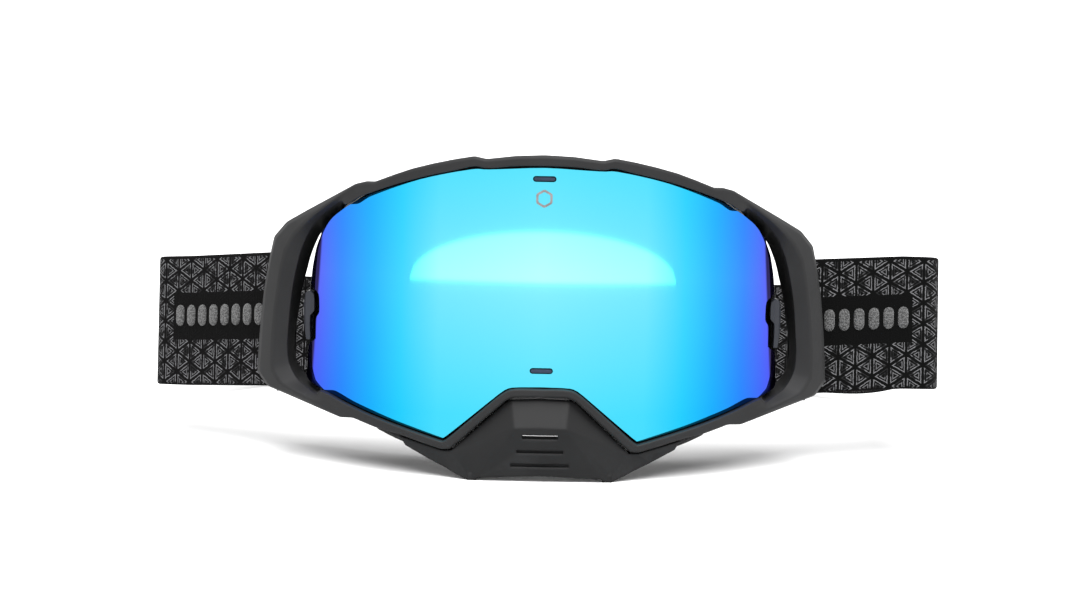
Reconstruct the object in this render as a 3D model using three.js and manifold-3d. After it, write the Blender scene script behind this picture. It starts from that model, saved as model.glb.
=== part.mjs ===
// Motorcycle goggles with a magnetic mirrored lens, a clip-on nose guard and an elastic head strap.
// Millimetres. +Z is up, the goggles look along -Y, and X runs across the face. They stand on the
// nose guard's feet and on the two strap sliders behind, so the floor is z = 0.
import * as THREE from 'three';
import { mergeVertices } from 'three/addons/utils/BufferGeometryUtils.js';
import Module from 'manifold-3d';

const wasm = await Module();
wasm.setup();

// ---------- driving dimensions ----------
const LENS_R = 100; // bend radius of the cylindrical lens, whose foremost line is y = 0
const LENS_T = 1.4; // outer lens thickness
const GAP = 0.3; // clearance between parts that touch
const CARRIER_T = 3; // frame bonded behind the lens edge, which holds the magnets
const SEAT_T = 2.6; // lens seat of the face frame
const BEZEL_PROUD = 3; // the rim stands this far in front of the lens
const WING_X = 57; // the outriggers leave the lens's curve here
const WING_SLOPE = 0.76; // and run straight back from there
const WING_DISH = 3; // their inner edge lies this much deeper than the outer one
const WING_BACK_Y = 49.4; // rear face of the outriggers
const WALL = 2.4; // moulded wall thickness
const FACE_Y = 24; // rear edge of the face frame at the nose bridge
const FACE_BEND = 0.0046; // how fast the face contour falls back to the temples
const FOAM_BASE_T = 4;
const FOAM_MID_T = 6.4;
const FLEECE_T = 2.8;
const VENT_GAP = 0.5; // between the face frame's wall and the foam over its vents
const VENT_T = 1.9;

const STRAP_W = 45;
const STRAP_T = 1.8;
const STRAP_TILT = THREE.MathUtils.degToRad(6.31); // the loop sags from the outriggers to the floor
const BAR = { x: 84.5, y: 56, z: 43.85, r: 2 }; // the strap bar at its middle, and its radius
// Angles to X at which the limp strap leaves its bars.
const STRAP_OUT = { left: THREE.MathUtils.degToRad(35), right: THREE.MathUtils.degToRad(13) };
const FOLD = { x: 134.8, r: 7 }; // and folds back here
const BACK_Y = 231.9; // centreline of the strap's outer layer across the back
const LAYER_PITCH = STRAP_T + GAP; // from one strap layer to the next
const STRAP_END_X = 66; // where each band ends past the middle

const PEG = { w: 6.5, h: 1.1, topZ: 93.4, bottomZ: 34.3 }; // pegs that locate the lens
const PEG_ROOM = 0.35; // gap between a peg and its slot
const MAGNET_R = 1.5;
const MAGNET_T = 1.1;
const LATCH = { x: 76.2, y: 40, pinR: 0.6, barrelR: 1.3, z0: 42.2, z1: 51.8 };
const SLIDER = { x: 38, halfW: 11, bar: 3.4, rail: 1.6, room: 0.2, wall: 1.8 };
const CENTRE_Y = 115.99; // middle of the whole object's depth, which becomes the origin

// ---------- colours ----------
const matt = (hex, roughness = 0.6, metalness = 0) =>
  new THREE.MeshStandardMaterial({ color: hex, roughness, metalness });
const FRAME_GREY = matt(0x2b2b2d, 0.55);
const FACE_BLACK = matt(0x17171a, 0.7);
const MIRROR_BLUE = matt(0x35c8f5, 0.08, 0.9);
const SMOKE = matt(0x30343c, 0.15);
const PEG_GREY = matt(0x2c3350, 0.5);
const LATCH_GREY = matt(0x3a404d, 0.45);
const STEEL = matt(0xb8bcc2, 0.3, 1);
const FOAM_BLACK = matt(0x1b1b1c, 0.95);
const FLEECE_BLACK = matt(0x141416, 1);
const STRAP_BLACK = matt(0x1d1d1e, 0.9);

// ---------- geometry helpers ----------
function solid(geometry) {
  const bare = geometry.index ? geometry.toNonIndexed() : geometry.clone();
  bare.deleteAttribute('normal');
  bare.deleteAttribute('uv');
  const merged = mergeVertices(bare, 1e-4);
  const made = new wasm.Manifold(new wasm.Mesh({
    numProp: 3,
    vertProperties: merged.attributes.position.array,
    triVerts: new Uint32Array(merged.index.array),
  }));
  return made;
}

function geometryOf(manifold) {
  const mesh = manifold.getMesh();
  const geometry = new THREE.BufferGeometry();
  geometry.setAttribute('position', new THREE.BufferAttribute(mesh.vertProperties, 3));
  geometry.setIndex(new THREE.BufferAttribute(mesh.triVerts, 1));
  return geometry;
}

// The volume inside an indexed geometry, negative if its faces point inwards.
function signedVolume(positions, index) {
  const [a, b, c] = [new THREE.Vector3(), new THREE.Vector3(), new THREE.Vector3()];
  let sum = 0;
  for (let i = 0; i < index.length; i += 3) {
    a.fromArray(positions, 3 * index[i]);
    b.fromArray(positions, 3 * index[i + 1]);
    c.fromArray(positions, 3 * index[i + 2]);
    sum += a.dot(b.cross(c)) / 6;
  }
  return sum;
}

// A closed ring through sections of equally many points, like a tube that meets itself.
function ringLoft(sections) {
  const n = sections.length;
  const m = sections[0].length;
  const positions = sections.flat().flatMap((p) => p.toArray());
  const index = [];
  for (let i = 0; i < n; i++) {
    for (let j = 0; j < m; j++) {
      const a = i * m + j;
      const b = i * m + ((j + 1) % m);
      const c = ((i + 1) % n) * m + ((j + 1) % m);
      const d = ((i + 1) % n) * m + j;
      index.push(a, b, c, a, c, d);
    }
  }
  if (signedVolume(positions, index) < 0) index.reverse();
  const geometry = new THREE.BufferGeometry();
  geometry.setAttribute('position', new THREE.Float32BufferAttribute(positions, 3));
  geometry.setIndex(index);
  return geometry;
}

// An open bar through sections of equally many points, capped at both ends.
function barLoft(sections) {
  const geometry = ringLoft(sections);
  const m = sections[0].length;
  const last = (sections.length - 1) * m;
  const wall = [];
  for (let i = 0; i < sections.length - 1; i++) {
    for (let j = 0; j < m; j++) {
      const a = i * m + j;
      const b = i * m + ((j + 1) % m);
      wall.push(a, b, b + m, a, b + m, a + m);
    }
  }
  for (let j = 1; j < m - 1; j++) {
    wall.push(0, j + 1, j);
    wall.push(last, last + j, last + j + 1);
  }
  if (signedVolume(geometry.attributes.position.array, wall) < 0) wall.reverse();
  geometry.setIndex(wall);
  return geometry;
}

const polygon = (points) => new THREE.Shape(points.map(([x, y]) => new THREE.Vector2(x, y)));

// A shape drawn in the front view (x, z), extruded from y0 to y1.
function extrudeY(shape, y0, y1) {
  return new THREE.ExtrudeGeometry(shape, { depth: y1 - y0, bevelEnabled: false, curveSegments: 6 })
    .rotateX(Math.PI / 2)
    .translate(0, y1, 0);
}

// A shape drawn in plan (x, y), extruded from z0 to z1.
function extrudeZ(shape, z0, z1) {
  return new THREE.ExtrudeGeometry(shape, { depth: z1 - z0, bevelEnabled: false, curveSegments: 6 })
    .translate(0, 0, z0);
}

function box(x0, x1, y0, y1, z0, z1) {
  return new THREE.BoxGeometry(x1 - x0, y1 - y0, z1 - z0)
    .translate((x0 + x1) / 2, (y0 + y1) / 2, (z0 + z1) / 2);
}

// A slot or peg outline with round ends, centred on (0, z).
function pill(width, height, z) {
  const shape = new THREE.Shape();
  const r = height / 2;
  shape.absarc(width / 2 - r, z, r, -Math.PI / 2, Math.PI / 2);
  shape.absarc(-width / 2 + r, z, r, Math.PI / 2, 1.5 * Math.PI);
  return shape;
}

const mirrorX = (points) => points.map(([x, z]) => [-x, z]).reverse();

// A closed outline from its right half, which starts and ends on the centreline.
const wholeOutline = (half) => [...half, ...mirrorX(half.slice(1, -1))];

// y of the circle of radius r about the lens's axis, at x.
const arcY = (r, x) => LENS_R - Math.sqrt(Math.max(r * r - x * x, 0));

// A curved sheet between two radii of the lens's cylinder, tall enough to cut any outline from.
function cylinderSheet(rOuter, rInner) {
  const steps = 32;
  const reach = 0.92;
  const arc = (r) => Array.from({ length: steps + 1 }, (_, i) => {
    const a = -reach + (2 * reach * i) / steps;
    return [r * Math.sin(a), LENS_R - r * Math.cos(a)];
  });
  return solid(extrudeZ(polygon([...arc(rOuter), ...arc(rInner).reverse()]), -10, 120));
}

// The mirror image across the middle plane, with its faces still pointing out.
function mirrored(geometry) {
  const image = geometry.clone().scale(-1, 1, 1);
  const p = image.attributes.position;
  const index = Array.from({ length: p.count }, (_, i) => p.count - 1 - i);
  image.setIndex(index);
  return image;
}

// A round pin or magnet whose axis points out of the lens's cylinder at angle a and height z.
function radialDisc(radius, rOuter, rInner, a, z, sides = 12) {
  const middle = (rOuter + rInner) / 2;
  return new THREE.CylinderGeometry(radius, radius, rOuter - rInner, sides)
    .rotateZ(a)
    .translate(middle * Math.sin(a), LENS_R - middle * Math.cos(a), z);
}

const group = new THREE.Group();
group.position.y = -CENTRE_Y;

function add(name, geometry, material) {
  const mesh = new THREE.Mesh(geometry, material);
  mesh.name = name;
  group.add(mesh);
}

const SIDES = [['left', -1], ['right', 1]];

// ---------- rim with outriggers ----------
// Height of the lens opening under the brow.
const browZ = (x) => 98.2 - 0.0035 * x * x;

// Right half of the rim, from the brow to the nose arch: [opening x, z, outside x, z, wing share].
const RIM_HALF = [
  [0, 97.4, 0, 100.7, 0],
  [9, 97.2, 9, 100.3, 0],
  [17.9, 96.4, 17.9, 99.2, 0],
  [21.2, browZ(21.2) + 0.3, 21.7, 100, 0],
  [27.5, browZ(27.5), 27.5, 99, 0],
  [34.3, browZ(34.3), 34.5, 97.5, 0],
  [41.2, browZ(41.2), 41, 95.8, 0],
  [48.6, browZ(48.6), 47, 93.7, 0],
  [53.8, browZ(53.8), 53.3, 91.3, 0],
  [58.3, browZ(58.3), 56.3, 91.3, 0],
  [62.7, 83.9, 59.5, 90.5, 0],
  [64.2, 84.9, 63, 88.6, 0.2],
  [69.3, 81.5, 68, 85.9, 0.7],
  [74.3, 76.3, 76, 81.6, 1],
  [77.9, 69.6, 83.5, 77.4, 1],
  [79.9, 63, 88, 72.4, 1],
  [81.6, 54.6, 89.3, 67, 1],
  [82.7, 44, 91.6, 55, 1],
  [83.1, 36.5, 93.2, 40, 1],
  [82.4, 31, 94, 27.3, 1],
  [79.7, 26.5, 90.3, 22.9, 1],
  [76.4, 24.2, 81, 20.4, 1],
  [72.4, 22.3, 74, 18.5, 0.5],
  [71, 23.3, 68.5, 17, 0.2],
  [62.3, 20.5, 64, 15.8, 0],
  [56, 18.4, 59.6, 16.2, 0],
  [50, 16.6, 51.8, 14, 0],
  [44.1, 15, 43.8, 12.5, 0],
  [37.3, 13.2, 37.3, 10.7, 0],
  [30.6, 11.5, 30.8, 9, 0],
  [30, 11.5, 28, 9.2, 0],
  [20.8, 19.4, 19.3, 17.2, 0],
  [11.6, 27.3, 10.6, 25.2, 0],
  [9.2, 28.5, 8.5, 26.1, 0],
  [0, 28.8, 0, 26.3, 0],
];

function rimFrontY(x) {
  const ax = Math.abs(x);
  const r = LENS_R + BEZEL_PROUD;
  return ax <= WING_X ? arcY(r, ax) : arcY(r, WING_X) + WING_SLOPE * (ax - WING_X);
}

function rimBackY(x, wing) {
  const onSeat = arcY(LENS_R - LENS_T - GAP - CARRIER_T, Math.min(Math.abs(x), 66));
  return THREE.MathUtils.lerp(onSeat, WING_BACK_Y, wing);
}

function rimSection([xi, zi, xo, zo, wing]) {
  const ridge = 1.3 * wing;
  const chamfer = 0.7 + 0.5 * wing;
  const across = (t) => [THREE.MathUtils.lerp(xi, xo, t), THREE.MathUtils.lerp(zi, zo, t)];
  const width = Math.hypot(xo - xi, zo - zi);
  const [xm, zm] = across(0.5);
  const [xc, zc] = across(1 - chamfer / width);
  const [xb, zb] = across(1 - (1.6 * wing) / width);
  const { smoothstep } = THREE.MathUtils;
  const cornerLean = 2 * smoothstep(zi, 77, 81) * Math.min(1, 5 * wing);
  const lean = (0.8 + 1.8 * smoothstep(zi, 36, 54)) * wing + cornerLean;
  const [xn, zn] = across(-lean / width);
  return [
    new THREE.Vector3(xi, rimFrontY(xi) + WING_DISH * wing, zi),
    new THREE.Vector3(xm, rimFrontY(xm) - ridge, zm),
    new THREE.Vector3(xc, rimFrontY(xc) - ridge * 0.3, zc),
    new THREE.Vector3(xo, rimFrontY(xo) + chamfer, zo),
    new THREE.Vector3(xb, rimBackY(xb, wing), zb),
    new THREE.Vector3(xn, rimBackY(xn, wing), zn),
  ];
}

// The strap's own frame: local z is across the strap, and the loop sags as it goes back.
function inStrapFrame(geometry) {
  return geometry
    .translate(0, -BAR.y, 0)
    .rotateX(-STRAP_TILT)
    .translate(0, BAR.y, BAR.z);
}

// A moulded bar between two lugs behind each outrigger, for the strap to loop round.
function strapBar(side) {
  const lugIn = STRAP_W / 2 + GAP;
  const lugOut = lugIn + 1.4;
  const parts = [inStrapFrame(
    new THREE.CylinderGeometry(BAR.r, BAR.r, 2 * lugOut - 1, 16).rotateX(Math.PI / 2)
      .translate(side * BAR.x, BAR.y, 0),
  )];
  for (const end of [-1, 1]) {
    const lug = new THREE.Shape();
    lug.moveTo(side * (BAR.x - 3), BAR.y - 10);
    lug.lineTo(side * (BAR.x + 3), BAR.y - 10);
    lug.lineTo(side * (BAR.x + 3), BAR.y + 0.8);
    lug.quadraticCurveTo(side * (BAR.x + 2.8), BAR.y + 3.3, side * BAR.x, BAR.y + 3.3);
    lug.quadraticCurveTo(side * (BAR.x - 2.8), BAR.y + 3.3, side * (BAR.x - 3), BAR.y + 0.8);
    const [z0, z1] = end > 0 ? [lugIn, lugOut] : [-lugOut, -lugIn];
    parts.push(inStrapFrame(extrudeZ(lug, z0, z1)));
  }
  const gusset = [[42, 25.5], [42, 23], [47.5, 20.8], [52, 20.1], [52, 20.9], [48.6, 21.5], [48.4, 25.5]];
  parts.push(new THREE.ExtrudeGeometry(polygon(gusset), { depth: 6, bevelEnabled: false })
    .applyMatrix4(new THREE.Matrix4().set(0, 0, 1, 0, 1, 0, 0, 0, 0, 1, 0, 0, 0, 0, 0, 1))
    .translate(side * (BAR.x - 1.2) - 3, 0, 0));
  return parts.map(solid).reduce((a, b) => a.add(b));
}

function makeRim() {
  const left = RIM_HALF.slice(1, -1).reverse();
  const sections = [
    ...RIM_HALF.map(rimSection),
    ...left.map(([xi, zi, xo, zo, wing]) => rimSection([-xi, zi, -xo, zo, wing])),
  ];
  let rim = solid(ringLoft(sections));
  for (const [, side] of SIDES) rim = rim.add(strapBar(side));
  return geometryOf(rim);
}

add('outer_frame', makeRim(), FRAME_GREY);

// ---------- lens ----------
// Right half of the lens edge: it clears the rim by half a millimetre, and its free side edge has a
// shallow notch for the latch.
const NOTCH = [[75.3, 56.6], [72.2, 54.6], [72, 48.4], [73.4, 46.4], [73.3, 39.4], [76, 38]];
const CORNER = new THREE.SplineCurve([
  [58.1, 85.8], [63, 82.9], [67.4, 79.6], [71, 75.2], [73.4, 69.6], [74.8, 62.6],
].map(([x, z]) => new THREE.Vector2(x, z)));
const BROW_X = [21.1, 27.4, 34.2, 41, 48.4, 53.6];
const LENS_HALF = [
  [0, 96.9], [17.8, 95.9],
  ...BROW_X.map((x) => [x, browZ(x) - 0.5]),
  ...CORNER.getPoints(10).map((p) => [p.x, p.y]),
  ...NOTCH,
  [76.7, 27], [75.6, 25.6], [70.8, 23.8], [62.2, 21], [55.9, 18.9], [44, 15.5], [30.9, 12.1],
  [30, 12.2], [12, 27.7], [9.4, 29], [0, 29.3],
];

// Right half of the face frame, row by row round its edge: the seat's outer edge x, z and its window
// x, z, which lie on the lens's curve, then the outer and inner edges of the rear face.
const FACE_ROWS = [
  [0, 98.4, 0, 88.8, 0, 95.4, 0, 84],
  [30, 95.8, 28, 87.2, 32, 93.6, 29, 82.2],
  [54.5, 88.4, 50, 81, 60.5, 86.2, 51, 75.6],
  [62.6, 82.8, 59, 76, 71, 76.2, 60.5, 68.6],
  [72.4, 74.2, 64.8, 69, 76, 63.5, 65.6, 59],
  [75, 62, 66.4, 60, 78.4, 50, 67.6, 49],
  [75.8, 46, 67.2, 46, 79, 40, 68, 40.5],
  [76.4, 31, 67, 33.5, 77.6, 29.6, 66.6, 32],
  [74.4, 26.8, 64.6, 29.6, 73.6, 23.6, 63.6, 26.8],
  [69.6, 23.8, 60.5, 27.2, 67, 19.4, 59, 24],
  [60, 19.4, 53.6, 24.8, 60, 15.6, 54, 21],
  [52, 15.6, 47, 22.8, 52, 11.5, 48, 18.6],
  [41, 12.4, 39.4, 20.4, 41, 7.4, 41.4, 16.6],
  [30.4, 10.4, 33, 19.8, 32.4, 7, 35.4, 18.6],
  [26.4, 12.6, 29.2, 22, 27.4, 11.2, 31.6, 22.6],
  [19.6, 18.4, 22.6, 28.4, 21.4, 18.6, 26, 30.4],
  [11, 26.4, 13.5, 35.8, 12.5, 29.6, 17.4, 40],
  [0, 27.6, 0, 37.6, 0, 34, 0, 44],
];
const STATIONS_PER_ROW = 2;

function shrunk(outline, by) {
  const n = outline.length;
  return outline.map(([x, z], i) => {
    const [ax, az] = outline[(i + n - 1) % n];
    const [bx, bz] = outline[(i + 1) % n];
    const length = Math.hypot(bx - ax, bz - az);
    return [x + (by * (bz - az)) / length, z - (by * (bx - ax)) / length];
  });
}

// One pair of columns of the face frame's rows as a closed outline, smoothed through its points.
function faceOutline(column) {
  const half = FACE_ROWS.map((row) => row.slice(column, column + 2));
  const points = wholeOutline(half);
  const curve = new THREE.CatmullRomCurve3(
    points.map(([x, z]) => new THREE.Vector3(x, 0, z)), true, 'centripetal');
  const count = points.length * STATIONS_PER_ROW;
  return Array.from({ length: count }, (_, i) => {
    const p = curve.getPoint(i / count);
    return [p.x, p.z];
  });
}

const seatEdge = faceOutline(0);
const seatHole = faceOutline(2);
const rearEdge = faceOutline(4);
const rearHole = faceOutline(6);
const lensOutline = wholeOutline(LENS_HALF);

function slotCut(z) {
  const room = 2 * PEG_ROOM;
  return solid(extrudeY(pill(PEG.w + room, PEG.h + room, z), -8, 16));
}

function cutFromSheet(outline, rOuter, rInner, holes) {
  let made = solid(extrudeY(polygon(outline), -12, 70)).intersect(cylinderSheet(rOuter, rInner));
  for (const hole of holes) made = made.subtract(hole);
  return made;
}

const pegSlots = [slotCut(PEG.topZ), slotCut(PEG.bottomZ)];
const CARRIER_R = LENS_R - LENS_T - GAP; // outer radius of the carrier
const SEAT_R = CARRIER_R - CARRIER_T - GAP; // outer radius of the lens seat

add('lens_outer', geometryOf(cutFromSheet(lensOutline, LENS_R, LENS_R - LENS_T, pegSlots)), MIRROR_BLUE);

// Angle across the lens and height of each magnet.
const MAGNETS = [
  [0.2, 92.2], [0.52, 84.6], [0.83, 60.8], [0.84, 33],
];
const magnetSpots = SIDES.flatMap(([label, side]) => MAGNETS.map(
  ([a, z], i) => ({ name: `${label}_${i + 1}`, a: side * a, z })));

function makeCarrier() {
  const opening = solid(extrudeY(polygon(seatHole), -20, 80));
  const pockets = magnetSpots.map(({ a, z }) => solid(
    radialDisc(MAGNET_R + 0.2, CARRIER_R - CARRIER_T + MAGNET_T + 0.4, CARRIER_R - CARRIER_T - 1, a, z)));
  return cutFromSheet(shrunk(lensOutline, 0.25), CARRIER_R, CARRIER_R - CARRIER_T,
    [opening, ...pegSlots, ...pockets]);
}

add('lens_carrier', geometryOf(makeCarrier()), FACE_BLACK);
for (const { name, a, z } of magnetSpots) {
  const inner = CARRIER_R - CARRIER_T + 0.15;
  add(`carrier_magnet_${name}`, radialDisc(MAGNET_R, inner + MAGNET_T, inner, a, z), STEEL);
}

// The second, inner lens on its foam spacer, inside the carrier's window.
const innerOutline = shrunk(seatHole, 0.6);
const spacerHole = solid(extrudeY(polygon(shrunk(seatHole, 3.4)), -20, 80));
const INNER_R = CARRIER_R - 2.6;
add('lens_spacer', geometryOf(cutFromSheet(innerOutline, CARRIER_R, INNER_R, [spacerHole])), FOAM_BLACK);
add('lens_inner', geometryOf(cutFromSheet(innerOutline, INNER_R - GAP, INNER_R - GAP - 0.8, [])), SMOKE);

// ---------- face frame ----------
const faceY = (x) => FACE_Y + FACE_BEND * x * x;

// A point part of the way from one outline's station towards another's.
const towards = (a, b, distance) => {
  const length = Math.hypot(b[0] - a[0], b[1] - a[1]);
  return [a[0] + ((b[0] - a[0]) * distance) / length, a[1] + ((b[1] - a[1]) * distance) / length];
};

function faceFrameSection(i) {
  const seatWall = towards(seatEdge[i], seatHole[i], WALL);
  const rearWall = towards(rearEdge[i], rearHole[i], WALL);
  const at = ([x, z], y) => new THREE.Vector3(x, y, z);
  return [
    at(seatEdge[i], arcY(SEAT_R, seatEdge[i][0])),
    at(seatHole[i], arcY(SEAT_R, seatHole[i][0])),
    at(seatHole[i], arcY(SEAT_R - SEAT_T, seatHole[i][0])),
    at(seatWall, arcY(SEAT_R - SEAT_T, seatWall[0])),
    at(rearWall, faceY(rearWall[0]) - 2),
    at(rearHole[i], faceY(rearHole[i][0]) - 2),
    at(rearHole[i], faceY(rearHole[i][0])),
    at(rearEdge[i], faceY(rearEdge[i][0])),
  ];
}

// Windows cut through the brow and cheek walls for air: [x, z, width, height, y from, y to].
const VENTS = [
  { x: 0, z: 97, width: 12, count: 5, pitch: 15.5, y0: 11, y1: 18.5 },
  { x: -46.5, z: 10.5, width: 4.4, count: 2, pitch: 5.4, y0: 24, y1: 30 },
  { x: 46.5, z: 10.5, width: 4.4, count: 2, pitch: 5.4, y0: 24, y1: 30 },
];

function latchEars(side) {
  const plan = [
    [74.2, 47], [74.6, 39.6], [75.4, 38.6], [77, 38.6], [77.8, 39.8], [77.8, 41.5], [76.6, 47.5],
  ];
  const shape = polygon(plan.map(([x, y]) => [side * x, y]));
  const ears = [[39.4, LATCH.z0 - GAP], [LATCH.z1 + GAP, 54.6]]
    .map(([z0, z1]) => solid(extrudeZ(shape, z0, z1)));
  const hole = new THREE.CylinderGeometry(LATCH.pinR + 0.05, LATCH.pinR + 0.05, 30, 12)
    .rotateX(Math.PI / 2)
    .translate(side * LATCH.x, LATCH.y, 47);
  return ears[0].add(ears[1]).subtract(solid(hole));
}

function makeFaceFrame() {
  const sections = seatEdge.map((_, i) => faceFrameSection(i));
  let frame = solid(ringLoft(sections));
  for (const { x, z, width, count, pitch, y0, y1 } of VENTS) {
    for (let i = 0; i < count; i++) {
      const cx = x + (i - (count - 1) / 2) * pitch;
      const back = z > 50 ? 0.0035 * cx * cx : 0;
      frame = frame.subtract(solid(
        box(cx - width / 2, cx + width / 2, y0 + back, y1 + back, z - 12, z + 12)));
    }
  }
  for (const { a, z } of magnetSpots) {
    frame = frame.subtract(solid(radialDisc(MAGNET_R + 0.2, SEAT_R + 1, SEAT_R - MAGNET_T - 0.4, a, z)));
  }
  for (const [, side] of SIDES) frame = frame.add(latchEars(side));
  return geometryOf(frame);
}

add('face_frame', makeFaceFrame(), FACE_BLACK);
for (const { name, a, z } of magnetSpots) {
  const outer = SEAT_R - 0.15;
  add(`frame_magnet_${name}`, radialDisc(MAGNET_R, outer, outer - MAGNET_T, a, z), STEEL);
}
for (const [name, z] of [['top', PEG.topZ], ['bottom', PEG.bottomZ]]) {
  const root = arcY(SEAT_R, 3.7) - 0.1 - GAP;
  add(`lens_peg_${name}`, extrudeY(pill(PEG.w, PEG.h, z), -0.6, root), PEG_GREY);
}

// ---------- foams ----------
function foamRing(y0, y1, rim, bulge) {
  return ringLoft(rearEdge.map((edge, i) => {
    const outer = towards(edge, rearHole[i], rim);
    const inner = towards(rearHole[i], edge, rim);
    const middle = [(outer[0] + inner[0]) / 2, (outer[1] + inner[1]) / 2];
    const at = ([x, z], y) => new THREE.Vector3(x, faceY(x) + y, z);
    return [at(outer, y0), at(outer, y1 - bulge), at(middle, y1), at(inner, y1 - bulge), at(inner, y0)];
  }));
}

let foamY = GAP;
add('foam_base', foamRing(foamY, foamY + FOAM_BASE_T, 0.4, 0), FOAM_BLACK);
foamY += FOAM_BASE_T + GAP;
add('foam_mid', foamRing(foamY, foamY + FOAM_MID_T, 0.8, 0), FOAM_BLACK);
foamY += FOAM_MID_T + GAP;
add('face_fleece', foamRing(foamY, foamY + FLEECE_T, 0.6, 0.9), FLEECE_BLACK);

// ---------- vent foams ----------
// A strip of foam over the face frame's outer wall, between two of its stations.
function ventFoam(from, to) {
  const along = (i, t, off) => {
    const seat = towards(seatEdge[i], seatHole[i], -off);
    const rear = towards(rearEdge[i], rearHole[i], -off);
    const y0 = arcY(SEAT_R, seat[0]);
    const y1 = faceY(rear[0]);
    const mix = THREE.MathUtils.lerp;
    return new THREE.Vector3(mix(seat[0], rear[0], t), mix(y0, y1, t), mix(seat[1], rear[1], t));
  };
  const sections = [];
  const n = seatEdge.length;
  for (let k = from; k <= to; k++) {
    const i = (k + n) % n;
    sections.push([
      along(i, 0.3, VENT_GAP), along(i, 0.3, VENT_GAP + VENT_T),
      along(i, 0.9, VENT_GAP + VENT_T), along(i, 0.9, VENT_GAP),
    ]);
  }
  return barLoft(sections);
}

const row = (number) => number * STATIONS_PER_ROW;
const half = seatEdge.length / 2;
add('vent_foam_top', ventFoam(-row(2), row(2)), FOAM_BLACK);
add('vent_foam_bottom_right', ventFoam(row(11), row(12)), FOAM_BLACK);
add('vent_foam_bottom_left', ventFoam(2 * half - row(12), 2 * half - row(11)), FOAM_BLACK);

// ---------- side latches ----------
// Each latch is a plate beside the lens's notch, on a barrel that turns about an upright pin.
function latch(side) {
  const flip = (points) => points.map(([x, y]) => [side * x, y]);
  const plate = [
    [73.7, 33.6], [74, 32.6], [75.4, 32.4], [76.8, 32.9], [77.6, 34.4], [77.6, 38],
    [75.2, 38], [75, 36.4], [73.9, 35.2],
  ];
  const profile = [
    [74.1, 48.6], [73.7, 50.4], [74.2, 54.1], [75.4, 55.3], [76.8, 54.6], [77.6, 51],
    [77.3, 44], [76.5, 39.4], [75.2, 39.4], [75.4, 44.6], [75.3, 47.2],
  ];
  const body = solid(extrudeZ(polygon(flip(plate)), 38, 57))
    .intersect(solid(extrudeY(polygon(flip(profile)), 25, 45)));
  const barrel = new THREE.CylinderGeometry(LATCH.barrelR, LATCH.barrelR, LATCH.z1 - LATCH.z0, 16)
    .rotateX(Math.PI / 2)
    .translate(side * LATCH.x, LATCH.y, (LATCH.z0 + LATCH.z1) / 2);
  const [webIn, webOut] = [75.4, 77.2];
  const web = box(webIn, webOut, 37, LATCH.y, LATCH.z0, LATCH.z1);
  if (side < 0) web.translate(-webIn - webOut, 0, 0);
  const bore = new THREE.CylinderGeometry(LATCH.pinR + 0.15, LATCH.pinR + 0.15, 30, 16)
    .rotateX(Math.PI / 2)
    .translate(side * LATCH.x, LATCH.y, 47);
  return geometryOf(body.add(solid(barrel)).add(solid(web)).subtract(solid(bore)));
}

for (const [label, side] of SIDES) {
  add(`latch_${label}`, latch(side), LATCH_GREY);
  const pin = new THREE.CylinderGeometry(LATCH.pinR, LATCH.pinR, LATCH.z1 - LATCH.z0 + 6, 12)
    .rotateX(Math.PI / 2)
    .translate(side * LATCH.x, LATCH.y, (LATCH.z0 + LATCH.z1) / 2);
  add(`latch_pin_${label}`, pin, STEEL);
}

// ---------- nose guard ----------
// Front surface of the right half, corner by corner.
const GUARD = {
  topMid: [0, -0.6, 25.7], top: [8.9, -0.2, 25.3], shoulder: [11.2, 0.2, 24.2],
  creaseMid: [0, -4.4, 17.1], crease: [8, -4.1, 16.8],
  bottomMid: [0, -2.2, 1.9], bottom: [18.8, -1.2, 1], foot: [20.9, -0.7, 0], heel: [22.4, 0, 0],
  hip: [27.6, 2, 8.7], hipOut: [30.4, 2.9, 8.5], tip: [43.9, 8.4, 11.9], tipLow: [42.2, 8, 9.2],
  low: [34.6, 5, 5.5], lowIn: [29.3, 3, 3.2], ankle: [26.9, 1.8, 2],
};
const GUARD_FACETS = [
  ['topMid', 'creaseMid', 'crease', 'top'],
  ['creaseMid', 'bottomMid', 'bottom', 'crease'],
  ['top', 'crease', 'hip', 'shoulder'],
  ['crease', 'bottom', 'foot'],
  ['crease', 'foot', 'heel', 'hip'],
  ['hip', 'heel', 'ankle', 'lowIn', 'low', 'hipOut'],
  ['hipOut', 'low', 'tipLow', 'tip'],
];
const GUARD_T = 2.2;
const GUARD_LIP = 9; // the upper edge is this deep, under the rim
const GUARD_UPPER = ['topMid', 'top', 'shoulder', 'hip', 'hipOut', 'tip'];
// Grooves across the front, the upper one slit through: [half width, z from, z to, y it reaches].
const GUARD_SLOTS = [
  [5.5, 13.6, 14.8, -2.6], [5.4, 14.35, 14.8, 9], [7.2, 9.1, 10.1, -1.9], [9, 4.7, 5.8, -1.3],
];

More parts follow.
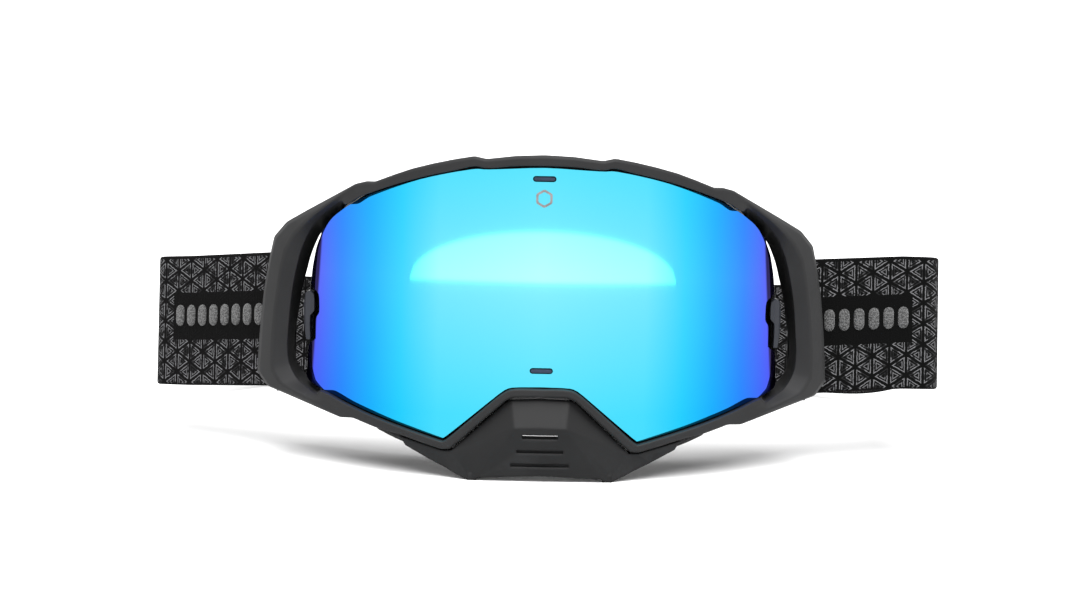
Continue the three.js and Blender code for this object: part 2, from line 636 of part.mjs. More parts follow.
function guardShell() {
  const names = Object.keys(GUARD);
  const spots = new Map();
  const positions = [];
  const spot = (name, side, back) => {
    const [x, y, z] = GUARD[name];
    const key = `${name}${x ? side : 0}${back}`;
    if (!spots.has(key)) {
      spots.set(key, positions.length / 3);
      const depth = GUARD_UPPER.includes(name) ? GUARD_LIP : GUARD_T;
      positions.push(side * x, y + back * depth, z);
    }
    return spots.get(key);
  };
  const index = [];
  const edges = new Map();
  for (const side of [1, -1]) {
    for (const facet of GUARD_FACETS) {
      const front = facet.map((name) => spot(name, side, 0));
      const back = facet.map((name) => spot(name, side, 1));
      if (side < 0) {
        front.reverse();
        back.reverse();
      }
      for (let i = 1; i < front.length - 1; i++) {
        index.push(front[0], front[i], front[i + 1]);
        index.push(back[0], back[i + 1], back[i]);
      }
      front.forEach((a, i) => {
        const b = front[(i + 1) % front.length];
        const twin = `${b},${a}`;
        if (edges.has(twin)) edges.delete(twin);
        else edges.set(`${a},${b}`, [a, b, back[i], back[(i + 1) % back.length]]);
      });
    }
  }
  for (const [a, b, backA, backB] of edges.values()) index.push(b, a, backA, b, backA, backB);
  if (signedVolume(positions, index) < 0) index.reverse();
  const geometry = new THREE.BufferGeometry();
  geometry.setAttribute('position', new THREE.Float32BufferAttribute(positions, 3));
  geometry.setIndex(index);
  return geometry;
}

function makeNoseGuard() {
  let guard = solid(guardShell());
  for (const [w, z0, z1, y1] of GUARD_SLOTS) guard = guard.subtract(solid(box(-w, w, -9, y1, z0, z1)));
  for (const side of [-1, 1]) {
    guard = guard.add(solid(box(side * 33.5 - 2, side * 33.5 + 2, 5, 13, 7.2, 8.4)));
    guard = guard.add(solid(box(side * 20.9 - 1.5, side * 20.9 + 1.5, -0.6, 7, 0, 2.4)));
  }
  guard = guard.add(solid(box(-6, 6, 0, 5, 22.6, 24.6)));
  return geometryOf(guard);
}

add('nose_guard', makeNoseGuard(), FRAME_GREY);

// ---------- strap ----------
// Centreline of the right band in plan, from the sewn end round the strap bar to the back.
function strapLine(angle, backY) {
  const r = BAR.r + GAP + STRAP_T / 2;
  const out = new THREE.Vector2(Math.cos(angle), Math.sin(angle));
  const normal = new THREE.Vector2(out.y, -out.x);
  const bar = new THREE.Vector2(BAR.x, BAR.y);
  const start = bar.clone().addScaledVector(normal, r);
  const at = (t, off) => start.clone().addScaledVector(out, t).addScaledVector(normal, -off);
  const sewn = new THREE.SplineCurve([
    at(31, LAYER_PITCH), at(24, LAYER_PITCH), at(17, LAYER_PITCH), at(8, 4.3), at(2, 5.9),
  ]).getPoints(8);
  const wrap = [];
  const angle0 = Math.atan2(normal.y, normal.x);
  for (let i = 1; i <= 9; i++) {
    const a = angle0 - Math.PI - 0.15 - (i / 10) * (Math.PI - 0.3);
    wrap.push(new THREE.Vector2(bar.x + r * Math.cos(a), bar.y + r * Math.sin(a)));
  }
  const run = (FOLD.x - FOLD.r * (1 - out.y) - start.x) / out.x;
  const centre = at(run, FOLD.r);
  const fold = [];
  for (let i = 0; i <= 6; i++) {
    const a = angle - Math.PI / 2 + (i / 6) * (Math.PI / 2 - angle);
    fold.push(new THREE.Vector2(centre.x + FOLD.r * Math.cos(a), centre.y + FOLD.r * Math.sin(a)));
  }
  const sweep = new THREE.CubicBezierCurve(
    new THREE.Vector2(FOLD.x, 121), new THREE.Vector2(FOLD.x, 190), new THREE.Vector2(122, backY),
    new THREE.Vector2(74, backY));
  const line = [
    ...sewn, ...wrap, start, at(20, 0), ...fold, ...sweep.getPoints(16),
    new THREE.Vector2(-STRAP_END_X, backY),
  ];
  return line.map((p) => [p.x, p.y]);
}

// A ribbon of the strap's thickness along a centreline in plan.
function ribbon(line) {
  const left = [];
  const right = [];
  line.forEach(([x, y], i) => {
    const [ax, ay] = line[Math.max(i - 1, 0)];
    const [bx, by] = line[Math.min(i + 1, line.length - 1)];
    const length = Math.hypot(bx - ax, by - ay);
    const nx = (-(by - ay) / length) * (STRAP_T / 2);
    const ny = ((bx - ax) / length) * (STRAP_T / 2);
    left.push([x + nx, y + ny]);
    right.push([x - nx, y - ny]);
  });
  return polygon([...left, ...right.reverse()]);
}

for (const [label, side, backY] of [['left', -1, BACK_Y], ['right', 1, BACK_Y - LAYER_PITCH]]) {
  const band = extrudeZ(ribbon(strapLine(STRAP_OUT[label], backY)), -STRAP_W / 2, STRAP_W / 2);
  add(`strap_${label}`, inStrapFrame(side < 0 ? mirrored(band) : band), STRAP_BLACK);
}

// ---------- strap sliders ----------
// A loop round both layers of the strap, whose outer face is three upright bars.
function slider(side) {
  const { halfW, bar, rail, room, wall } = SLIDER;
  const x = side * SLIDER.x;
  const y1 = BACK_Y + STRAP_T / 2 + room;
  const y0 = BACK_Y - LAYER_PITCH - STRAP_T / 2 - room;
  const z = STRAP_W / 2 + room;
  let made = solid(box(x - halfW, x + halfW, y0 - wall, y1 + wall, -z - rail, z + rail));
  made = made.subtract(solid(box(x - halfW - 1, x + halfW + 1, y0, y1, -z, z)));
  const slot = (2 * halfW - 3 * bar) / 2;
  for (const end of [-1, 1]) {
    const middle = x + (end * (bar + slot)) / 2;
    const hole = box(middle - slot / 2, middle + slot / 2, y1 - 0.1, y1 + wall + 1, -z + 1.6, z - 1.6);
    made = made.subtract(solid(hole));
  }
  return inStrapFrame(geometryOf(made));
}

for (const [label, side] of SIDES) add(`slider_${label}`, slider(side), FACE_BLACK);

export default group;
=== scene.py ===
"""Motorcycle goggles: visible surfaces, materials, studio light and camera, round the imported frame."""
import math

import bmesh
import bpy
from mathutils import Matrix, Vector


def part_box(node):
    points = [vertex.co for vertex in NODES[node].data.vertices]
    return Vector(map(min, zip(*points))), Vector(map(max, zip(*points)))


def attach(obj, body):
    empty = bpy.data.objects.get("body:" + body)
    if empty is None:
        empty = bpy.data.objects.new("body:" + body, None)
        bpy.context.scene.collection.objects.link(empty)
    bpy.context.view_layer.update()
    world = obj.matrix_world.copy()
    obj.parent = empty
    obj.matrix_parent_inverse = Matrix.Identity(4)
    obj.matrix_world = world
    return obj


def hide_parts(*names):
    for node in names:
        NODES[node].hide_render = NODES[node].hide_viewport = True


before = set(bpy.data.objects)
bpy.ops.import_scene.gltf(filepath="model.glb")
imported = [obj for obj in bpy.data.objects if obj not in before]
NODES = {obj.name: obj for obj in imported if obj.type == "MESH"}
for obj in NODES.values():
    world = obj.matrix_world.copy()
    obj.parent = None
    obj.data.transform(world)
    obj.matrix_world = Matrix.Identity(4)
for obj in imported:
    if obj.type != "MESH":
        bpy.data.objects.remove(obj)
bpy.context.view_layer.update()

# ---------- driving dimensions, in millimetres ----------
MM = 0.001
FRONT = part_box("lens_outer")[0].y  # the lens's foremost line, in the row frame
LENS_R = 100  # bend radius of the cylindrical lens
LENS_T = 1.4
BEZEL_PROUD = 3  # the rim stands this far in front of the lens
WING_X = 57  # the outriggers leave the lens's curve here
WING_SLOPE = 0.76  # and run straight back from there
WING_DISH = 3  # their inner edge lies this much deeper than the outer one
WING_BACK_Y = 49.4
STRAP_W = 45
STRAP_T = 1.8
STRAP_TILT = math.radians(6.31)  # the loop sags from the outriggers to the floor
STRAP_OUT = {"left": math.radians(35), "right": math.radians(13)}  # how each band leaves its bar
STRAP_LIFT = {"left": -1.0, "right": 2.5}  # how much higher than its bar each limp fold lies
STRAP_DROOP = 2.0  # how far the band sinks at its rear corners
BAR_X, BAR_Y, BAR_Z, BAR_R = 84.5, 56, 43.85, 2
FOLD_X, FOLD_R = 134.8, 7
BACK_Y = 231.9  # centreline of the outer layer across the back
LAYER_PITCH = 2.1
STRAP_END_X = 66
PEG_W, PEG_H, PEG_TOP_Z, PEG_BOTTOM_Z, PEG_ROOM = 6.5, 1.1, 93.4, 34.3, 0.35
SIDES = (("left", -1), ("right", 1))


def place(x, y, z):
    """A point of the row frame from millimetres measured from the lens's foremost line."""
    return Vector((x * MM, FRONT + y * MM, z * MM))


# ---------- curves ----------
def lerp(a, b, t):
    return a + (b - a) * t


def smoothstep(x, lo, hi):
    t = min(max((x - lo) / (hi - lo), 0), 1)
    return t * t * (3 - 2 * t)


def arc_y(radius, x):
    """y of the circle of this radius about the lens's axis."""
    return LENS_R - math.sqrt(max(radius * radius - x * x, 0))


def catmull(points, per):
    """A closed centripetal Catmull-Rom curve through the points, with per samples on each span."""
    points = [Vector(p) for p in points]
    count = len(points)
    out = []
    for i in range(count):
        p = [points[(i + k - 1) % count] for k in range(4)]
        knots = [0.0]
        for a, b in zip(p, p[1:]):
            knots.append(knots[-1] + max((b - a).length, 1e-4) ** 0.5)
        for j in range(per):
            t = lerp(knots[1], knots[2], j / per)

            def mix(a, b, ta, tb):
                return a * ((tb - t) / (tb - ta)) + b * ((t - ta) / (tb - ta))

            a1, a2, a3 = (mix(p[k], p[k + 1], knots[k], knots[k + 1]) for k in range(3))
            b1 = mix(a1, a2, knots[0], knots[2])
            b2 = mix(a2, a3, knots[1], knots[3])
            out.append(mix(b1, b2, knots[1], knots[2]))
    return out


def softened(points, per, passes):
    """A closed polyline resampled with per points on each span, its corners rounded by averaging."""
    points = [Vector(p) for p in points]
    count = len(points)
    out = [points[i].lerp(points[(i + 1) % count], j / per) for i in range(count) for j in range(per)]
    for _ in range(passes):
        total = len(out)
        out = [out[i - 1] * 0.25 + out[i] * 0.5 + out[(i + 1) % total] * 0.25 for i in range(total)]
    return out


def whole(half):
    """A closed outline from its right half, which starts and ends on the middle plane."""
    return list(half) + [(-x, z) for x, z in half[-2:0:-1]]


def rounded(section, radii):
    """A section whose corners are each replaced by three points of a rounded corner."""
    out = []
    count = len(section)
    for i, (corner, radius) in enumerate(zip(section, radii)):
        for k in (-1, 1):
            other = section[(i + k) % count]
            length = (other - corner).length
            share = min(radius * MM / length, 0.45) if length > 1e-7 else 0
            out.append(corner.lerp(other, share))
        middle = (out[-1] + out[-2]) / 2
        out.insert(len(out) - 1, corner.lerp(middle, 0.45))
    return out


# ---------- meshes ----------
def new_object(name, mesh):
    obj = bpy.data.objects.new(name, mesh)
    bpy.context.scene.collection.objects.link(obj)
    return obj


def from_faces(name, verts, faces):
    mesh = bpy.data.meshes.new(name)
    mesh.from_pydata([tuple(v) for v in verts], [], faces)
    mesh.update()
    tidy = bmesh.new()
    tidy.from_mesh(mesh)
    bmesh.ops.recalc_face_normals(tidy, faces=tidy.faces)
    tidy.to_mesh(mesh)
    tidy.free()
    return new_object(name, mesh)


def grid_faces(rows, columns, closed_rows, base=0):
    """Quads between rows of equally many points, each row a closed loop."""
    last = rows if closed_rows else rows - 1
    faces = []
    for i in range(last):
        for j in range(columns):
            a = base + i * columns + j
            b = base + i * columns + (j + 1) % columns
            c = base + ((i + 1) % rows) * columns + (j + 1) % columns
            d = base + ((i + 1) % rows) * columns + j
            faces.append((a, b, c, d))
    return faces


def ring(name, sections):
    columns = len(sections[0])
    verts = [v for s in sections for v in s]
    return from_faces(name, verts, grid_faces(len(sections), columns, True))


def bar_data(sections, base=0):
    """Vertices and faces of an open bar through sections, capped at both ends."""
    columns = len(sections[0])
    rows = len(sections)
    verts = [v for s in sections for v in s]
    faces = grid_faces(rows, columns, False, base)
    faces.append(tuple(base + j for j in reversed(range(columns))))
    faces.append(tuple(base + (rows - 1) * columns + j for j in range(columns)))
    return verts, faces


def bars(name, groups):
    """One object of several open bars."""
    verts, faces = [], []
    for sections in groups:
        more_verts, more_faces = bar_data(sections, len(verts))
        verts += more_verts
        faces += more_faces
    return from_faces(name, verts, faces)


def prism(name, outline, y0, y1):
    """A front outline (x, z) extruded from y0 to y1."""
    return bars(name, [[[place(x, y, z) for x, z in outline] for y in (y0, y1)]])


def modify(obj, kind, **settings):
    modifier = obj.modifiers.new(kind.lower(), kind)
    for key, value in settings.items():
        setattr(modifier, key, value)
    return modifier


def apply_all(obj):
    """Keeps what the modifiers make as the object's own mesh."""
    shown = obj.evaluated_get(bpy.context.evaluated_depsgraph_get())
    mesh = bpy.data.meshes.new_from_object(shown)
    obj.modifiers.clear()
    obj.data = mesh


def boolean(obj, other, operation):
    modify(obj, "BOOLEAN", operation=operation, object=other, solver="EXACT")
    apply_all(obj)
    bpy.data.objects.remove(other)


def smooth(obj, sharp_degrees=None):
    """Smooth shading, with edges sharper than the angle kept sharp."""
    mesh = obj.data
    mesh.polygons.foreach_set("use_smooth", [True] * len(mesh.polygons))
    if sharp_degrees is not None:
        mesh.set_sharp_from_angle(angle=math.radians(sharp_degrees))


def finish_piece(obj, material, body, slot, *replaced):
    obj.data.materials.clear()
    obj.data.materials.append(material)
    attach(obj, body)
    if replaced:
        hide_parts(*replaced)
    return obj


# ---------- node helpers ----------
class Shader:
    """A material's node tree, with short calls for the nodes that the materials share."""

    def __init__(self, name, **sockets):
        self.material = bpy.data.materials.new(name)
        self.material.use_nodes = True
        self.tree = self.material.node_tree
        self.bsdf = self.tree.nodes["Principled BSDF"]
        for key, value in sockets.items():
            socket = self.bsdf.inputs[key.replace("_", " ").title().replace("Ior", "IOR")]
            socket.default_value = (*value, 1) if isinstance(value, tuple) else value

    def node(self, kind, **settings):
        node = self.tree.nodes.new(kind)
        for key, value in settings.items():
            setattr(node, key, value)
        return node

    def link(self, source, target):
        self.tree.links.new(source, target)

    def feed(self, socket, value):
        if isinstance(value, bpy.types.NodeSocket):
            self.link(value, socket)
        else:
            socket.default_value = value

    def math(self, operation, a, b=0.0, c=0.0, clamp=False):
        node = self.node("ShaderNodeMath", operation=operation, use_clamp=clamp)
        for socket, value in zip(node.inputs, (a, b, c)):
            self.feed(socket, value)
        return node.outputs[0]

    def position(self):
        """The point on the piece, in metres."""
        return self.node("ShaderNodeTexCoord").outputs["Object"]

    def split(self, vector):
        """A vector's x, y and z."""
        node = self.node("ShaderNodeSeparateXYZ")
        self.link(vector, node.inputs[0])
        return node.outputs

    def cells(self, vector, scale):
        """Distance from the nearest of many scattered points."""
        node = self.node("ShaderNodeTexVoronoi")
        node.inputs["Scale"].default_value = scale
        self.link(vector, node.inputs["Vector"])
        return node.outputs["Distance"]

    def noise(self, vector, scale, detail=2.0, roughness=0.5, output="Fac"):
        node = self.node("ShaderNodeTexNoise")
        node.inputs["Scale"].default_value = scale
        node.inputs["Detail"].default_value = detail
        node.inputs["Roughness"].default_value = roughness
        self.link(vector, node.inputs["Vector"])
        return node.outputs[output]

    def ramp(self, factor, stops, interpolation="LINEAR"):
        node = self.node("ShaderNodeValToRGB")
        node.color_ramp.interpolation = interpolation
        elements = node.color_ramp.elements
        while len(elements) < len(stops):
            elements.new(0.5)
        for element, (at, colour) in zip(elements, stops):
            element.position = at
            element.color = (*colour, 1) if isinstance(colour, tuple) else (colour, colour, colour, 1)
        self.link(factor, node.inputs["Fac"])
        return node.outputs["Color"]

    def mix(self, factor, a, b, blend="MIX"):
        node = self.node("ShaderNodeMix", data_type="RGBA", blend_type=blend)
        self.feed(node.inputs["Factor"], factor)
        for key, value in (("A", a), ("B", b)):
            socket = [s for s in node.inputs if s.name == key and s.type == "RGBA"][0]
            self.feed(socket, (*value, 1) if isinstance(value, tuple) else value)
        return [s for s in node.outputs if s.type == "RGBA"][0]

    def paint(self, colour):
        self.link(colour, self.bsdf.inputs["Base Color"])

    def bump(self, height, strength, distance, soften=0.0):
        """Relief from a height, over corners that look rounded to the radius soften."""
        node = self.node("ShaderNodeBump")
        if soften:
            corners = self.node("ShaderNodeBevel")
            corners.inputs["Radius"].default_value = soften
            self.link(corners.outputs["Normal"], node.inputs["Normal"])
        node.inputs["Strength"].default_value = strength
        node.inputs["Distance"].default_value = distance
        self.link(height, node.inputs["Height"])
        self.link(node.outputs["Normal"], self.bsdf.inputs["Normal"])


def srgb(r, g, b):
    """A linear colour from an 8-bit display colour."""
    def linear(c):
        c /= 255
        return c / 12.92 if c <= 0.04045 else ((c + 0.055) / 1.055) ** 2.4
    return (linear(r), linear(g), linear(b))


# ---------- materials ----------
def moulded_plastic(name, dark, light, roughness, grain, edge_wear=0.35, soften=0.0):
    """Matt moulded plastic: fine spark-eroded grain, faint cloudiness, and edges rubbed lighter."""
    s = Shader(name, roughness=roughness, ior=1.46, specular_ior_level=0.18)
    coords = s.position()
    clouds = s.noise(coords, 60, 3)
    colour = s.ramp(clouds, [(0.3, dark), (0.7, light)])
    rubbed = s.ramp(s.node("ShaderNodeNewGeometry").outputs["Pointiness"], [(0.52, 0.0), (0.6, 1.0)])
    scuffs = s.math("MULTIPLY", rubbed, s.math("MULTIPLY", s.noise(coords, 900, 2), edge_wear))
    s.paint(s.mix(scuffs, colour, tuple(3 * c for c in light)))
    s.bump(s.noise(coords, grain, 2, 0.6), 0.35, 0.00008, soften)
    return s.material


COATING_COLOURS = [
    (0, (0.25, 0.88, 1.0)), (32, (0.2, 0.84, 1.0)), (44, (0.06, 0.72, 1.0)), (54, (0.035, 0.5, 1.0)),
    (64, (0.05, 0.28, 1.0)), (76, (0.14, 0.07, 0.95)),
]  # cyan to azure to violet, by distance from the middle in millimetres
COATING_REACH = 80  # the distance from the middle that counts as 1 in the ramps
# middle height and half height of the painted reflection's falloff
REFLECTION_MIDDLE_Z, REFLECTION_HALF_H = 62, 42
PAINTED_SHADE_EDGE = (71.9, 72.5)  # where the coating fades into a painted shade band along the side edges, standing for the shadowed gap beside the frame
PAINTED_SHADE_LEAN, PAINTED_SHADE_Z = 0.07, 60  # how far the painted shade band leans inward with height, and from where


def mirror_coating():
    """Hard mirror coating whose interference colour runs from cyan through azure to violet, with a painted
    reflection that dims towards top and bottom and a painted shade band along the side edges.
    """
    s = Shader("mirror_coating", metallic=1.0, roughness=0.035)
    coords = s.position()
    x, _, z = s.split(coords)
    reach = COATING_REACH * MM
    wander = s.math("MULTIPLY", s.math("SUBTRACT", s.noise(coords, 30, 1), 0.5), 0.03)
    spread = s.math("DIVIDE", s.math("ABSOLUTE", x), reach)
    across = s.math("ADD", spread, wander)
    colour = s.ramp(across, [(at / COATING_REACH, tone) for at, tone in COATING_COLOURS])
    from_middle = s.math("ABSOLUTE", s.math("SUBTRACT", z, REFLECTION_MIDDLE_Z * MM))
    height = s.math("DIVIDE", from_middle, REFLECTION_HALF_H * MM, clamp=True)
    # painted reflection: away from the middle height the colour dims and loses red
    painted_reflection = s.mix(height, (0.48, 0.48, 0.5), (0.17, 0.44, 0.5))
    coating_and_reflection = s.mix(1.0, colour, painted_reflection, "MULTIPLY")
    above = s.math("SUBTRACT", z, PAINTED_SHADE_Z * MM)
    leaning = s.math("MULTIPLY_ADD", above, PAINTED_SHADE_LEAN / reach, spread)
    # painted shade: the colour turns dark indigo along the side edges, where the gap beside the frame lies
    # in shadow
    edge = s.ramp(leaning, [(at / COATING_REACH, amount) for amount, at in enumerate(PAINTED_SHADE_EDGE)])
    s.paint(s.mix(edge, coating_and_reflection, srgb(18, 8, 62)))
    return s.material


def tinted_polycarbonate():
    """The uncoated back and edges of the mirrored lens."""
    s = Shader("tinted_polycarbonate", roughness=0.08, ior=1.58)
    clouds = s.noise(s.position(), 40)
    s.paint(s.ramp(clouds, [(0.3, (0.006, 0.007, 0.014)), (0.7, (0.01, 0.012, 0.022))]))
    return s.material


def clear_polycarbonate():
    s = Shader("clear_polycarbonate", roughness=0.03, ior=1.5, transmission_weight=0.9)
    clouds = s.noise(s.position(), 25)
    s.paint(s.ramp(clouds, [(0.2, (0.8, 0.84, 0.86)), (0.8, (0.86, 0.89, 0.9))]))
    return s.material


def open_cell_foam():
    """Reticulated foam: cells about 0.6 mm across."""
    s = Shader("open_cell_foam", roughness=0.95)
    depth = s.cells(s.position(), 1500)
    s.paint(s.ramp(depth, [(0.05, (0.019, 0.019, 0.02)), (0.6, (0.004, 0.004, 0.0045))]))
    s.bump(depth, 0.8, -0.0003)
    return s.material


def short_fleece():
    s = Shader("short_fleece", roughness=0.95, sheen_weight=0.25, sheen_roughness=0.4)
    coords = s.position()
    pile = s.noise(coords, 1400, 3, 0.7)
    nap = s.noise(coords, 90, 3, 0.6)
    shade = s.math("ADD", s.math("MULTIPLY", pile, 0.6), s.math("MULTIPLY", nap, 0.4))
    s.paint(s.ramp(shade, [(0.3, (0.004, 0.004, 0.0045)), (0.7, (0.014, 0.014, 0.0152))]))
    s.bump(shade, 0.9, 0.0004)
    return s.material


def plated_metal(name, colour, roughness, scratch):
    s = Shader(name, metallic=1.0)
    streaks = s.noise(s.position(), scratch, 4, 0.6)
    s.paint(s.ramp(streaks, [(0.3, tuple(0.85 * c for c in colour)), (0.7, colour)]))
    s.link(s.ramp(streaks, [(0.2, roughness * 0.7), (0.8, roughness * 1.4)]), s.bsdf.inputs["Roughness"])
    return s.material


def printed_grey():
    s = Shader("printed_grey", roughness=0.45, metallic=0.3)
    speckle = s.noise(s.position(), 600)
    s.paint(s.ramp(speckle, [(0.3, srgb(98, 95, 96)), (0.7, srgb(122, 117, 117))]))
    return s.material


TRIANGLE = 6.1  # height of the strap pattern's triangles
PANEL = (-64.0, -4.0, -6.5, 9.9)  # plain panel: along from and to, across from and to
SELVEDGE = 0.9  # plain edge of the strap
PICK, END = 0.42, 0.5  # spacing of the threads across and along the strap
STROKES = [
    (0.0, 0.0), (0.07, 0.0), (0.09, 1.0), (0.12, 1.0), (0.14, 0.0), (0.2, 0.0), (0.22, 0.8), (0.25, 0.8),
    (0.27, 0.0),
]  # brightness by distance from a triangle's side, as a share of its height


def triangle_strokes(s, along, across):
    """Strokes that follow the sides of a triangle lattice, two nested inside each triangle."""
    slant = s.math("MULTIPLY", across, math.sqrt(3) / 2)
    half = s.math("MULTIPLY", along, 0.5)
    rows = [
        s.math("DIVIDE", along, TRIANGLE),
        s.math("DIVIDE", s.math("SUBTRACT", slant, half), TRIANGLE),
        s.math("DIVIDE", s.math("MULTIPLY", s.math("ADD", slant, half), -1), TRIANGLE),
    ]
    fracts = [s.math("FRACT", row) for row in rows]
    total = s.math("ADD", s.math("ADD", fracts[0], fracts[1]), fracts[2])
    down = s.math("GREATER_THAN", total, 1.5)
    sides = [s.math("ABSOLUTE", s.math("SUBTRACT", fract, down)) for fract in fracts]
    nearest = s.math("MINIMUM", s.math("MINIMUM", sides[0], sides[1]), sides[2])
    return s.ramp(nearest, STROKES)


def between(s, value, low, high):
    return s.math("MULTIPLY", s.math("GREATER_THAN", value, low), s.math("LESS_THAN", value, high))


def woven_elastic():
    """Woven elastic: fine picks, and a jacquard of nested triangle strokes round a plain panel."""
    s = Shader("woven_elastic", roughness=1.0, sheen_weight=0.02, sheen_roughness=0.5,
               specular_ior_level=0.03)
    uv = s.node("ShaderNodeUVMap", uv_map="along_across").outputs[0]
    shifted = s.node("ShaderNodeVectorMath", operation="MULTIPLY_ADD")
    s.link(s.noise(uv, 900, output="Color"), shifted.inputs[0])
    shifted.inputs[1].default_value = (0.0005, 0.0005, 0)
    s.link(uv, shifted.inputs[2])
    along, across, _ = (s.math("DIVIDE", part, MM) for part in s.split(shifted.outputs[0]))
    broken = s.ramp(s.noise(uv, 330), [(0.44, 0.1), (0.5, 1.0)])
    strokes = s.math("MULTIPLY", triangle_strokes(s, along, across), broken)
    in_panel = s.math("MULTIPLY", between(s, along, *PANEL[:2]), between(s, across, *PANEL[2:]))
    in_edge = s.math("GREATER_THAN", s.math("ABSOLUTE", across), STRAP_W / 2 - SELVEDGE)
    plain = s.math("MAXIMUM", in_panel, in_edge)
    picks = s.math("SINE", s.math("MULTIPLY", across, 2 * math.pi / PICK))
    ends = s.math("SINE", s.math("MULTIPLY", along, 2 * math.pi / END))
    weave = s.math("MULTIPLY_ADD", s.math("MULTIPLY", picks, ends), 0.5, 0.5)
    fuzz = s.noise(uv, 2600)
    thread = s.math("MULTIPLY", weave, s.math("MULTIPLY", fuzz, 1.6), clamp=True)
    amount = s.math("MULTIPLY", strokes, s.math("SUBTRACT", 1.0, plain))
    amount = s.math("MULTIPLY", amount, s.math("MULTIPLY_ADD", thread, 0.75, 0.35), clamp=True)
    ground = s.mix(thread, (0.0012, 0.0012, 0.0012), (0.004, 0.004, 0.004))
    s.paint(s.mix(amount, ground, srgb(118, 118, 120)))
    relief = s.math("ADD", s.math("MULTIPLY", weave, 0.5), s.math("MULTIPLY", strokes, 0.5))
    s.bump(relief, 0.7, 0.0002)
    return s.material


def terry_pile():
    """Looped grey pile."""
    s = Shader("terry_pile", roughness=0.95, sheen_weight=0.15, sheen_roughness=0.5)
    pile = s.cells(s.position(), 2000)
    s.paint(s.ramp(pile, [(0.1, srgb(98, 98, 98)), (0.7, srgb(42, 42, 42))]))
    s.bump(pile, 0.9, -0.0004)
    return s.material


def sewing_thread():
    s = Shader("sewing_thread", roughness=0.7, sheen_weight=0.2)
    twist = s.node("ShaderNodeTexWave")
    twist.inputs["Scale"].default_value = 900
    s.link(s.position(), twist.inputs["Vector"])
    s.paint(s.ramp(twist.outputs["Fac"], [(0.2, (0.01, 0.01, 0.01)), (0.8, (0.035, 0.035, 0.036))]))
    s.bump(twist.outputs["Fac"], 0.4, 0.0001)
    return s.material


FRAME_PLASTIC = moulded_plastic(
    "frame_plastic", (0.0112, 0.0112, 0.0116), (0.0142, 0.0142, 0.0147), 0.55, 3200)
# a darker copy of the frame's plastic: painted shade, set against the sun lighting the nose guard more
# strongly
GUARD_PLASTIC = moulded_plastic(
    "guard_plastic", (0.0055, 0.0055, 0.0058), (0.008, 0.008, 0.0083), 0.44, 3200, soften=0.0012)
FACE_PLASTIC = moulded_plastic(
    "face_plastic", (0.004, 0.004, 0.0044), (0.006, 0.006, 0.0066), 0.6, 3600)
LATCH_PLASTIC = moulded_plastic(
    "latch_plastic", (0.018, 0.019, 0.024), (0.023, 0.025, 0.03), 0.42, 4200)
PEG_PLASTIC = moulded_plastic(
    "peg_plastic", (0.012, 0.02, 0.036), (0.016, 0.024, 0.042), 0.4, 4200)
SLIDER_PLASTIC = moulded_plastic(
    "slider_plastic", (0.005, 0.005, 0.0055), (0.008, 0.008, 0.0085), 0.38, 2600)
MIRROR = mirror_coating()
TINTED = tinted_polycarbonate()
CLEAR = clear_polycarbonate()
FOAM = open_cell_foam()
FLEECE = short_fleece()
STEEL = plated_metal("turned_steel", (0.55, 0.56, 0.58), 0.3, 1800)
NICKEL = plated_metal("nickel_plate", (0.72, 0.7, 0.66), 0.22, 700)
PRINT = printed_grey()
ELASTIC = woven_elastic()
TERRY = terry_pile()
THREAD = sewing_thread()


# ---------- rim with outriggers ----------
def brow_z(x):
    return 98.2 - 0.0035 * x * x


RIM_HALF = [
    (0, 97.4, 0, 100.7, 0), (9, 97.2, 9, 100.3, 0), (17.9, 96.4, 17.9, 99.2, 0),
    (21.2, brow_z(21.2) + 0.3, 21.7, 100, 0), (27.5, brow_z(27.5), 27.5, 99, 0),
    (34.3, brow_z(34.3), 34.5, 97.5, 0), (41.2, brow_z(41.2), 41, 95.8, 0),
    (48.6, brow_z(48.6), 47, 93.7, 0), (53.8, brow_z(53.8), 53.3, 91.3, 0),
    (58.3, brow_z(58.3), 56.3, 91.3, 0), (62.7, 83.9, 59.5, 90.5, 0), (64.2, 84.9, 63, 88.6, 0.2),
    (69.3, 81.5, 68, 85.9, 0.7), (74.3, 76.3, 76, 81.6, 1), (77.9, 69.6, 83.5, 77.4, 1),
    (79.9, 63, 88, 72.4, 1), (81.6, 54.6, 89.3, 67, 1), (82.7, 44, 91.6, 55, 1), (83.1, 36.5, 93.2, 40, 1),
    (82.4, 31, 94, 27.3, 1), (79.7, 26.5, 90.3, 22.9, 1), (76.4, 24.2, 81, 20.4, 1),
    (72.4, 22.3, 74, 18.5, 0.5), (71, 23.3, 68.5, 17, 0.2), (62.3, 20.5, 64, 15.8, 0),
    (56, 18.4, 59.6, 16.2, 0), (50, 16.6, 51.8, 14, 0), (44.1, 15, 43.8, 12.5, 0),
    (37.3, 13.2, 37.3, 10.7, 0), (30.6, 11.5, 30.8, 9, 0), (30, 11.5, 28, 9.2, 0),
    (20.8, 19.4, 19.3, 17.2, 0), (11.6, 27.3, 10.6, 25.2, 0), (9.2, 28.5, 8.5, 26.1, 0),
    (0, 28.8, 0, 26.3, 0),
]  # opening x and z, outside x and z, share of outrigger; right half, from the brow to the nose arch
RIM_CORNERS = (0.4, 1.0, 0.5, 0.4, 0.5, 0.4)  # rounding of the section's six corners
RIM_STEPS = 8  # samples between two rows of the outline
RIDGE = 1.6  # how far an outrigger's middle stands proud of its edges
CARRIER_DEPTH = 3.3  # from the back of the lens to the rim's rear edge, away from the outriggers


def rim_front_y(x):
    radius = LENS_R + BEZEL_PROUD
    x = abs(x)
    return arc_y(radius, x) if x <= WING_X else arc_y(radius, WING_X) + WING_SLOPE * (x - WING_X)


def rim_back_y(x, wing):
    return lerp(arc_y(LENS_R - LENS_T - CARRIER_DEPTH, min(abs(x), 66)), WING_BACK_Y, wing)


